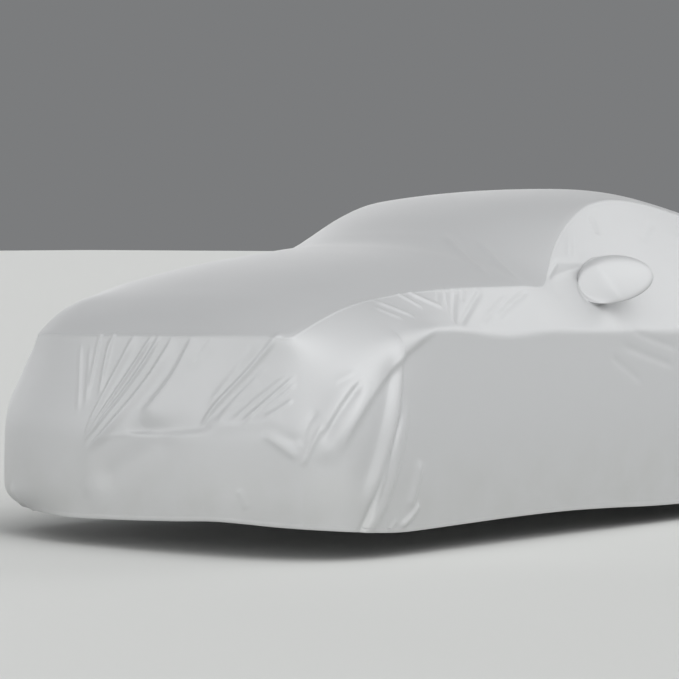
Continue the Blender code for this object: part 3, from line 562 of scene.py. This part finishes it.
def along_line(x, y, x0, y0, x1, y1):
    """The part of the way along a line, and the distance off it, at each place."""
    way = np.array([x1 - x0, y1 - y0])
    length = np.hypot(*way)
    way /= length
    x, y = x - x0, y - y0
    return (x * way[0] + y * way[1]) / length, y * way[0] - x * way[1]


def raised(off, width, part):
    """How high a soft fold stands, by the distance off its line and the part of the way along it."""
    return np.exp(-((off / width) ** 2)) * ease(part / FOLD_FADE) * ease((1 - part) / FOLD_FADE)


def fold_depth(along, height):
    """How far the folds move the skirt in or out, at each place and height."""
    total = np.zeros(along.shape)
    for fold in FOLDS:
        part, off = along_line(along, height, fold["s0"], fold["z0"], fold["s1"], fold["z1"])
        off = off - fold["bend"] * 4 * part * (1 - part)
        width = np.where(off > 0, fold["above"], fold["below"])
        taper = fold.get("taper", 1.0)
        width *= taper + (1 - taper) * np.clip(part, 0, 1)
        total += fold["depth"] * raised(off, width, part)
    return total


# ---------------------------------------------------------------- the cloth
# All panels are cut from one bolt: plain-woven polyester taffeta with a silver grey coating on its outer
# face. The coating is calendered smooth, so the cloth has a satin gloss and a weave that only shows close up.
CLOTH_HEX = "#b9babb"
DUSTY_HEX = "#adaeac"
CLOTH_IOR = 1.5
CLOTH_METALLIC = 0.22     # the coating holds metal flakes
CLOTH_ROUGHNESS = 0.50
ROUGHNESS_SPREAD = 0.03
SHEEN_WEIGHT = 0.25
SHEEN_ROUGHNESS = 0.45
# Real threads are 0.2 mm apart, too fine to show, so the weave is drawn this much coarser.
DRAWN_THREAD_MM = 5.655
WEAVE_HIGH_MM = 0.1
WEAVE_STRENGTH = 0.25
CRINKLE_MM = 14.0
CRINKLE_HIGH_MM = 0.6
CRINKLE_STRENGTH = 0.35
DUST_PATCH_MM = 1000 / 6
DUST_FROM_Z = -0.85       # in the frame of the solids, down to where it is thickest
DUST_TO_Z = -1.26
# The wave texture lays this many bands in one unit at scale 1.
WAVE_BANDS = 20 / (2 * math.pi)


def add_node(tree, kind, links=(), **settings):
    """A node with its settings, and links as (input, source node, output)."""
    node = tree.nodes.new(kind)
    for key, value in settings.items():
        if key in node.bl_rna.properties:
            setattr(node, key, value)
        else:
            node.inputs[key.replace("_", " ")].default_value = value
    for socket, source, output in links:
        tree.links.new(source.outputs[output], node.inputs[socket])
    return node


cloth = bpy.data.materials.new("coated_polyester_taffeta")
cloth.use_nodes = True
tree = cloth.node_tree
shader = tree.nodes["Principled BSDF"]
shader.inputs["IOR"].default_value = CLOTH_IOR
shader.inputs["Metallic"].default_value = CLOTH_METALLIC
shader.inputs["Sheen Weight"].default_value = SHEEN_WEIGHT
shader.inputs["Sheen Roughness"].default_value = SHEEN_ROUGHNESS
# UVs are in metres on the cloth, warp along v and weft along u.
metres = add_node(tree, "ShaderNodeUVMap", uv_map="metres_on_cloth")
on_cloth = [("Vector", metres, "UV")]
thread_scale = 1000 / DRAWN_THREAD_MM / WAVE_BANDS
warp = add_node(tree, "ShaderNodeTexWave", on_cloth, bands_direction="X", Scale=thread_scale)
weft = add_node(tree, "ShaderNodeTexWave", on_cloth, bands_direction="Y", Scale=thread_scale)
weave = add_node(tree, "ShaderNodeMath", [(0, warp, "Fac"), (1, weft, "Fac")], operation="MULTIPLY")
threads = add_node(tree, "ShaderNodeBump", [("Height", weave, "Value")],
                   Strength=WEAVE_STRENGTH, Distance=WEAVE_HIGH_MM / 1000)
# The stiff coating stays a little crinkled between the large folds.
crinkle = add_node(tree, "ShaderNodeTexNoise", on_cloth, Scale=1000 / CRINKLE_MM, Detail=3.0)
creased = add_node(tree, "ShaderNodeBump", [("Height", crinkle, "Fac"), ("Normal", threads, "Normal")],
                   Strength=CRINKLE_STRENGTH, Distance=CRINKLE_HIGH_MM / 1000)
tree.links.new(creased.outputs["Normal"], shader.inputs["Normal"])
# Dust dulls the cloth near the hem, in soft patches.
spot = add_node(tree, "ShaderNodeNewGeometry")
height_of = add_node(tree, "ShaderNodeSeparateXYZ", [("Vector", spot, "Position")])
low_down = add_node(tree, "ShaderNodeMapRange", [("Value", height_of, "Z")], interpolation_type="SMOOTHSTEP",
                    From_Min=DUST_FROM_Z, From_Max=DUST_TO_Z)
patches = add_node(tree, "ShaderNodeTexNoise", on_cloth, Scale=1000 / DUST_PATCH_MM, Detail=4.0)
dusty = add_node(tree, "ShaderNodeMath", [(0, low_down, "Result"), (1, patches, "Fac")], operation="MULTIPLY")
colour = add_node(tree, "ShaderNodeMix", [("Factor", dusty, "Value")], data_type="RGBA",
                  A=linear(CLOTH_HEX), B=linear(DUSTY_HEX))
tree.links.new(colour.outputs["Result"], shader.inputs["Base Color"])
gloss = add_node(tree, "ShaderNodeMapRange", [("Value", patches, "Fac")],
                 To_Min=CLOTH_ROUGHNESS - ROUGHNESS_SPREAD, To_Max=CLOTH_ROUGHNESS + ROUGHNESS_SPREAD)
tree.links.new(gloss.outputs["Result"], shader.inputs["Roughness"])

# ---------------------------------------------------------------- top panel
# One length of cloth covers the bonnet, the windscreen, the roof and the tail. Its edge is felled to the
# skirt. It lies tight, with two shallow creases that run up the windscreen from its lower left corner.
TOP_SPACING = ((0.10, 0.006), (6.0, 0.014))
TOP_ACROSS = 168
EDGE_FADE = 0.030         # how far the folds of the skirt reach into the top panel
TOP_CREASES = rows_of(
    ("x0", "y0", "x1", "y1", "width", "depth"),
    (0.270, 1.545, 0.750, 1.215, 0.014, 0.0078),
    (0.410, 1.572, 0.785, 1.378, 0.012, 0.0064),
)
SHARP_TURN = math.radians(55)
# An edge turned under: how far past the edge, and how far below the cloth, each further row lies.
SEAM_TURN = ((-0.0002, 0.0005), (-0.0006, 0.0030))


def between(grid, at):
    """The grid read at fractional places along its first axis, by a smooth curve through its rows."""
    slopes = np.gradient(grid, axis=0)
    cell = np.clip(np.floor(at).astype(int), 0, len(grid) - 2)
    part = (at - cell).reshape((-1,) + (1,) * (grid.ndim - 1))
    return eased_between(part, grid[cell], grid[cell + 1], slopes[cell], slopes[cell + 1])


def finer(grid, first, second):
    """The places and the outward ways of the grid, at fractional places along both of its axes."""
    fine = between(between(grid, first).swapaxes(0, 1), second).swapaxes(0, 1)
    spots, outward = fine[..., :3], fine[..., 3:]
    return spots, outward / np.linalg.norm(outward, axis=2, keepdims=True)


def steps_of(run, spacing):
    """Fractional places along a run of points, as far apart as the spacing table says by distance."""
    until, step = np.array(spacing).T
    dense = np.linspace(0, run[-1], LINE_POINTS)
    cell = np.clip(np.searchsorted(until, dense[1:]), 0, len(step) - 1)
    count = np.concatenate([[0], np.cumsum(np.diff(dense) / step[cell])])
    wanted = np.interp(np.linspace(0, count[-1], int(np.ceil(count[-1])) + 1), count, dense)
    return np.interp(wanted, run, np.arange(len(run)))


def crease_depth(spots):
    """How far the creases lift the top panel."""
    total = np.zeros(spots.shape[:2])
    for crease in TOP_CREASES:
        ends_of = [crease[name] for name in ("x0", "y0", "x1", "y1")]
        part, off = along_line(spots[..., 0], spots[..., 1], *ends_of)
        total += crease["depth"] * raised(off, crease["width"], part)
    return total


def at_border(first, last, at):
    """How far the folds move the seam, at fractional places along a stretch of it."""
    spots = between(drape[skirt_index[np.arange(first, last + 1) % len(loop), 0]], at)
    s = np.interp(at, np.arange(last - first + 1), np.append(loop_s, loop_s[0])[first:last + 1])
    return fold_depth(s, spots[:, 2])


def turned_under(grid, inward, rows):
    """The grid with rows added past its last one, turned under the cloth."""
    onward = grid[-1] - grid[-2]
    onward /= np.linalg.norm(onward, axis=1, keepdims=True)
    added = [grid[-1] + onward * past - inward * under for past, under in rows]
    return np.concatenate([grid, np.array(added)])


def laid(name, points, faces, flat):
    """A piece of cloth from points and faces, each point with its place on the flat cloth."""
    mesh = bpy.data.meshes.new(name)
    mesh.from_pydata((points - ORIGIN).tolist(), [], faces)
    corners = np.empty(len(mesh.loops), np.int32)
    mesh.loops.foreach_get("vertex_index", corners)
    uv = mesh.uv_layers.new(name="metres_on_cloth")
    uv.data.foreach_set("uv", flat[corners].astype(np.float32).ravel())
    mesh.polygons.foreach_set("use_smooth", np.ones(len(faces), bool))
    mesh.materials.append(cloth)
    return placed(bpy.data.objects.new(name, mesh))


def sheet_of(name, grid, outward, turns):
    """A sheet of cloth from a grid of points, its edges turned under: first, last, left and right."""
    for side, rows in enumerate(turns):
        order = slice(None, None, 1 if side % 2 else -1)
        if side > 1:
            grid, outward = grid.swapaxes(0, 1), outward.swapaxes(0, 1)
        grid, outward = grid[order], outward[order]
        grid = turned_under(grid, outward[-1], rows)[order]
        outward = np.concatenate([outward, np.repeat(outward[-1:], len(rows), axis=0)])[order]
        if side > 1:
            grid, outward = grid.swapaxes(0, 1), outward.swapaxes(0, 1)
    index = np.arange(grid.shape[0] * grid.shape[1]).reshape(grid.shape[:2])
    faces = np.stack([index[:-1, :-1], index[:-1, 1:], index[1:, 1:], index[1:, :-1]], axis=2).reshape(-1, 4)
    u = np.array([run_along(line) for line in grid.swapaxes(0, 1)]).T
    v = np.array([run_along(line) for line in grid])
    u -= u[len(u) // 2]
    v -= v[:, v.shape[1] // 2, None]
    sheet = laid(name, grid.reshape(-1, 3), faces.tolist(), np.stack([u, v], axis=2).reshape(-1, 2))
    sheet.data.set_sharp_from_angle(angle=SHARP_TURN)
    return sheet


rows_at = steps_of(run_along(drape[top_index[:, ACROSS // 2], :3]), TOP_SPACING)
across_at = np.linspace(0, ACROSS, TOP_ACROSS + 1)
spots, outward = finer(drape[top_index], rows_at, across_at)
lift = crease_depth(spots)
# The seam follows the folds of the skirt below it, on all four edges of the panel.
for first, last, at, shape, edge in (
    (LEFT_FROM, REAR_FROM, rows_at, (-1, 1), spots[:, -1:]),
    (RIGHT_FROM, len(loop), LONG - rows_at, (-1, 1), spots[:, :1]),
    (FRONT_FROM, LEFT_FROM, across_at, (1, -1), spots[:1]),
    (REAR_FROM, RIGHT_FROM, ACROSS - across_at, (1, -1), spots[-1:]),
):
    from_edge = np.linalg.norm(spots - edge, axis=2)
    lift += at_border(first, last, at).reshape(shape) * (1 - ease(from_edge / EDGE_FADE))
top_cloth = sheet_of("top_cloth", spots + outward * lift[..., None], outward, (SEAM_TURN,) * 4)
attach(top_cloth, "root")
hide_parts("top_panel")

# ---------------------------------------------------------------- skirt panels
# Front, left, rear and right panels hang from the top panel's seam and are sewn to each other at the corners.
# Each has a felled band along its top, and a hem turned under and stitched 18 mm from its lower edge.
BAND_WIDE = 0.010
BAND_LIFT = 0.0010
BAND_EDGE = 0.003         # over which the band rises from the cloth
HEM_WIDE = 0.018
HEM_LIFT = 0.0010
HEM_ROUNDNESS = 0.7
# The hem is turned under too, and then lies flat against the cloth.
HEM_TURN = ((0.0009, 0.0006), (0.0012, 0.0018), (0.0004, 0.0030), (-0.0050, 0.0034), (-0.0180, 0.0034))
# Rows of points lie close along the seam and the hem, over these lengths and this far apart.
SEAM_FINE = 0.016
SEAM_STEP = 0.0020
HEM_FINE = 0.026
HEM_STEP = 0.0022
# The folds that the photo shows best get the closest points: distance from the front corner, and spacing.
FRONT_SPACING = ((9.0, 0.0036),)
LEFT_SPACING = ((0.85, 0.0045), (1.75, 0.0066), (2.70, 0.0105), (9.0, 0.026))
REAR_SPACING = ((9.0, 0.008),)
RIGHT_SPACING = ((9.0, 0.012),)
SKIRTS = rows_of(
    ("name", "node", "first", "last", "spacing", "down_step", "flat", "area"),
    ("front_cloth", "front_panel", FRONT_FROM, LEFT_FROM, FRONT_SPACING, 0.0046, (1.72, 0.80), 1.20),
    ("left_cloth", "left_panel", LEFT_FROM, REAR_FROM, LEFT_SPACING, 0.0060, (5.10, 1.25), 5.2),
    ("rear_cloth", "rear_panel", REAR_FROM, RIGHT_FROM, REAR_SPACING, 0.0080, (1.80, 0.95), 1.45),
    ("right_cloth", "right_panel", RIGHT_FROM, len(loop), RIGHT_SPACING, 0.0080, (5.10, 1.25), 5.2),
)
TINY = 1e-9


def run_round(wanted, at):
    """The run s at fractional places between points of the loop, over the middle of the rear too."""
    whole = bumper_run[-1]
    span = loop_s[wanted]
    if span[0] > 0:       # it turns negative past the middle of the rear
        span = np.where(span < span[0] - TINY, span + whole, span)
    s = np.interp(at, np.arange(len(span)), span)
    return np.where(s > whole / 2, s - whole, s)


skirt_grids = {}
for panel in SKIRTS:
    wanted = np.arange(panel["first"], panel["last"] + 1) % len(loop)
    base = drape[skirt_index[wanted]]
    columns_at = steps_of(run_along(base[:, DOWN // 2, :3]), panel["spacing"])
    long_down = run_along(base[len(base) // 2, :, :3])[-1]
    plain_steps = int((long_down - SEAM_FINE - HEM_FINE) / panel["down_step"])
    down_m = np.concatenate([
        np.arange(0, SEAM_FINE, SEAM_STEP),
        np.linspace(SEAM_FINE, long_down - HEM_FINE, plain_steps),
        np.linspace(long_down - HEM_FINE, long_down, int(HEM_FINE / HEM_STEP) + 1)[1:],
    ])
    spots, outward = finer(base, columns_at, down_m / long_down * DOWN)
    s = np.repeat(run_round(wanted, columns_at)[:, None], spots.shape[1], axis=1)
    from_seam = np.array([run_along(column) for column in spots])
    from_hem = from_seam[:, -1:] - from_seam
    lift = fold_depth(s, spots[..., 2])
    lift += BAND_LIFT * ease(from_seam / BAND_EDGE) * ease((BAND_WIDE - from_seam) / BAND_EDGE + 1)
    lift += HEM_LIFT * np.sin(np.pi * np.clip(from_hem / HEM_WIDE, 0, 1)) ** HEM_ROUNDNESS
    spots = spots + outward * lift[..., None]
    skirt_grids[panel["node"]] = spots, outward
    piece = sheet_of(panel["name"], spots, outward, (SEAM_TURN, SEAM_TURN, SEAM_TURN, HEM_TURN))
    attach(piece, "root")
    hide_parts(panel["node"])

# ---------------------------------------------------------------- stitching
# Two rows of lockstitch fell the band to the skirt under the seam, and one row holds the turned hem.
# The thread is bonded polyester, a little darker than the cloth, and lies on it in short raised stitches.
THREAD_HEX = "#a3a4a5"
THREAD_SHADE_HEX = "#8f9092"
THREAD_ROUGHNESS = 0.55
THREAD_SHEEN = 0.3
TWIST_MM = 0.8
TWIST_HIGH_MM = 0.1
TWIST_STRENGTH = 0.4
STITCH_LONG = 0.0032
STITCH_PITCH = 0.0045
STITCH_WIDE = 0.0009
STITCH_HIGH = 0.0005
STITCH_ROWS = (2, 4, -9)  # of the skirt's points: two under the seam and one above the hem

thread = bpy.data.materials.new("bonded_polyester_thread")
thread.use_nodes = True
tree = thread.node_tree
thread_shader = tree.nodes["Principled BSDF"]
thread_shader.inputs["Roughness"].default_value = THREAD_ROUGHNESS
thread_shader.inputs["Sheen Weight"].default_value = THREAD_SHEEN
spot = add_node(tree, "ShaderNodeNewGeometry")
# The plies of the thread catch light and shade by turns.
plies = add_node(tree, "ShaderNodeTexNoise", [("Vector", spot, "Position")],
                 Scale=1000 / TWIST_MM, Detail=1.0)
colour = add_node(tree, "ShaderNodeMix", [("Factor", plies, "Fac")], data_type="RGBA",
                  A=linear(THREAD_HEX), B=linear(THREAD_SHADE_HEX))
twisted = add_node(tree, "ShaderNodeBump", [("Height", plies, "Fac")],
                   Strength=TWIST_STRENGTH, Distance=TWIST_HIGH_MM / 1000)
tree.links.new(colour.outputs["Result"], thread_shader.inputs["Base Color"])
tree.links.new(twisted.outputs["Normal"], thread_shader.inputs["Normal"])


def stitches_along(line, normal):
    """The corners of one row of stitches: five points each, two ends on the cloth and a raised middle."""
    run = run_along(line)
    begin = np.arange(STITCH_PITCH, run[-1] - STITCH_PITCH, STITCH_PITCH)
    start, finish, up = (np.stack([np.interp(at, run, values[:, axis]) for axis in range(3)], axis=1)
                         for at, values in ((begin, line), (begin + STITCH_LONG, line), (begin, normal)))
    across = np.cross(up, finish - start)
    across *= STITCH_WIDE / 2 / np.linalg.norm(across, axis=1, keepdims=True)
    middle = (start + finish) / 2
    return np.stack([start, middle - across, middle + up * STITCH_HIGH, middle + across, finish], axis=1)


for node, (spots, outward) in skirt_grids.items():
    corners = np.concatenate([stitches_along(spots[:, row], outward[:, row]) for row in STITCH_ROWS])
    first = 5 * np.arange(len(corners))[:, None, None]
    faces = (first + [[0, 2, 1], [0, 3, 2], [4, 1, 2], [4, 2, 3]]).reshape(-1, 3)
    mesh = bpy.data.meshes.new(f"{node}_stitches")
    mesh.from_pydata((corners.reshape(-1, 3) - ORIGIN).tolist(), [], faces.tolist())
    mesh.polygons.foreach_set("use_smooth", np.ones(len(faces), bool))
    mesh.materials.append(thread)
    stitches = placed(bpy.data.objects.new(f"{node}_stitches", mesh))
    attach(stitches, "root")

# ---------------------------------------------------------------- mirror pockets
# A pocket of the same cloth is sewn over a slanting oval hole in each side panel, and stands out from it like
# a small tent. Its taut egg-shaped front faces forwards and a little up, and is creased where it was folded.
FOOT_MIDDLE = (1.890, 0.996)
FOOT_HALF = (0.122, 0.092)
FOOT_LEAN = 0.090         # how far back the top of the foot leans from its middle
FRONT_MIDDLE = (0.903, 1.877, 1.004)
FRONT_FACING = (0.66, -0.66, 0.33)
FRONT_LONG = 0.165
FRONT_TALL = 0.104
FRONT_EGG = 0.07          # narrows its outer half and widens its inner one, by this share
FRONT_TILT = math.radians(6)
FRONT_BULGE = 0.009
FRONT_ROUNDING = 0.042
CREASE_HIGH = 0.0030
CREASE_PLACE = -0.052     # along the front from its middle
CREASE_LEAN = 0.50
CREASE_STEEP = 0.012      # how wide it is on its outer side, and on its inner one
CREASE_GENTLE = 0.045
CREASE_REACH = 1.3        # how late it fades out towards the rim
POCKET_ROUND = 120        # points round it, and rings of them up its wall, round its bend and over its front
WALL_RINGS = 12
BEND_RINGS = 10
FRONT_RINGS = 16
FOOT_PASSES = 4           # that smooth the rings next to its foot, how many rings, and how strongly
FOOT_REACH = 7
FOOT_WEIGHT = 0.8
FLANGE = 1.06             # the sewn edge round its foot, and the hole under it, as shares of the foot
HOLE = 0.93
FLANGE_LIFT = 0.0012
FAR_OUT = 2.0             # well outside the side panels

turn = np.arange(POCKET_ROUND) * 2 * np.pi / POCKET_ROUND


def foot_ring(side, tree, size, lift):
    """A ring of points on the side panel, round the foot of the pocket."""
    found = []
    for a, b in zip(np.cos(turn) * size, np.sin(turn) * size):
        y = FOOT_MIDDLE[0] + FOOT_HALF[0] * a + FOOT_LEAN * b
        z = FOOT_MIDDLE[1] + FOOT_HALF[1] * b
        found.append(tree.ray_cast(Vector((side * FAR_OUT, y, z)), Vector((-side, 0, 0)))[0])
    return np.array(found) + [side * lift, 0, 0]


def front_ways(side):
    """The way that the front of the pocket faces, and the ways along it and up it."""
    facing = np.array(FRONT_FACING) * [side, 1, 1]
    facing /= np.linalg.norm(facing)
    level = np.array([-facing[1] * side, facing[0] * side, 0.0])
    level /= np.linalg.norm(level)
    rising = np.cross(facing, level) * side
    long_way = level * math.cos(FRONT_TILT) + rising * math.sin(FRONT_TILT)
    tall_way = rising * math.cos(FRONT_TILT) - level * math.sin(FRONT_TILT)
    return facing, long_way, tall_way


def cut_hole(panel, side):
    """Opens the side panel inside the foot of the pocket."""
    cut = bmesh.new()
    cut.from_mesh(panel)
    covered = []
    for face in cut.faces:
        x, y, z = np.array(face.calc_center_median()) + ORIGIN
        up = (z - FOOT_MIDDLE[1]) / FOOT_HALF[1]
        along = (y - FOOT_MIDDLE[0] - FOOT_LEAN * up) / FOOT_HALF[0]
        if x * side > 0 and math.hypot(along, up) < HOLE:
            covered.append(face)
    bmesh.ops.delete(cut, geom=covered, context="FACES")
    cut.to_mesh(panel)
    cut.free()


for side, host, name, node in ((1, "left_cloth", "mirror_pocket_left_cloth", "mirror_pocket_left"),
                               (-1, "right_cloth", "mirror_pocket_right_cloth", "mirror_pocket_right")):
    panel = bpy.data.objects[host].data
    spots = np.empty(len(panel.vertices) * 3, np.float32)
    panel.vertices.foreach_get("co", spots)
    spots = spots.reshape(-1, 3) + ORIGIN
    tree = BVHTree.FromPolygons(spots.tolist(), [polygon.vertices[:] for polygon in panel.polygons])
    facing, long_way, tall_way = front_ways(side)
    centre = np.array(FRONT_MIDDLE) * [side, 1, 1]
    tall = FRONT_TALL * (1 - FRONT_EGG * np.cos(turn)) * np.sin(turn)
    rim = centre + FRONT_LONG * np.cos(turn)[:, None] * long_way + tall[:, None] * tall_way
    foot = foot_ring(side, tree, 1.0, FLANGE_LIFT)
    down, inward = foot - rim, centre - rim
    wall_long = np.linalg.norm(down, axis=1, keepdims=True)
    reach = np.minimum(FRONT_ROUNDING, MOST_ROUNDED * wall_long)
    wall_end = rim + down / wall_long * reach
    front_start = rim + inward / np.linalg.norm(inward, axis=1, keepdims=True) * reach
    rows = [foot_ring(side, tree, FLANGE, FLANGE_LIFT)]
    rows += [foot + (wall_end - foot) * part for part in np.linspace(0, 1, WALL_RINGS)]
    rows += [(1 - part) ** 2 * wall_end + 2 * part * (1 - part) * rim + part**2 * front_start
             for part in np.linspace(0, 1, BEND_RINGS)[1:]]
    rows += [front_start + (centre - front_start) * part for part in np.linspace(0, 1, FRONT_RINGS)[1:-1]]
    rows = np.array(rows)
    from_centre = np.linalg.norm(np.cross(rows - centre, facing), axis=2) / np.linalg.norm(inward, axis=1)
    rows += (FRONT_BULGE * np.clip(1 - from_centre**2, 0, 1))[..., None] * facing
    off = (rows - centre) @ long_way + CREASE_LEAN * (rows - centre) @ tall_way - CREASE_PLACE
    crease = CREASE_HIGH * np.exp(-((off / np.where(off > 0, CREASE_STEEP, CREASE_GENTLE)) ** 2))
    rows += (crease * np.clip(CREASE_REACH * (1 - from_centre**2), 0, 1))[..., None] * facing
    for _ in range(FOOT_PASSES):
        between_rows = (rows[1:FOOT_REACH - 1] + rows[3:FOOT_REACH + 1]) / 2
        rows[2:FOOT_REACH] += (between_rows - rows[2:FOOT_REACH]) * FOOT_WEIGHT
    index = np.arange(len(rows) * POCKET_ROUND).reshape(-1, POCKET_ROUND)
    beside = np.roll(index, -1, axis=1)
    walls = np.stack([index[:-1], beside[:-1], beside[1:], index[1:]], axis=2).reshape(-1, 4)
    tip = index.size
    faces = walls.tolist() + [(a, b, tip) for a, b in zip(index[-1].tolist(), beside[-1].tolist())]
    if side < 0:
        faces = [face[::-1] for face in faces]
    points = np.vstack([rows.reshape(-1, 3), centre + FRONT_BULGE * facing])
    flat = np.stack([(points - centre) @ long_way, (points - centre) @ tall_way], axis=1)
    pocket = laid(name, points, faces, flat)
    cut_hole(panel, side)
    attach(pocket, "root")
    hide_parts(node)
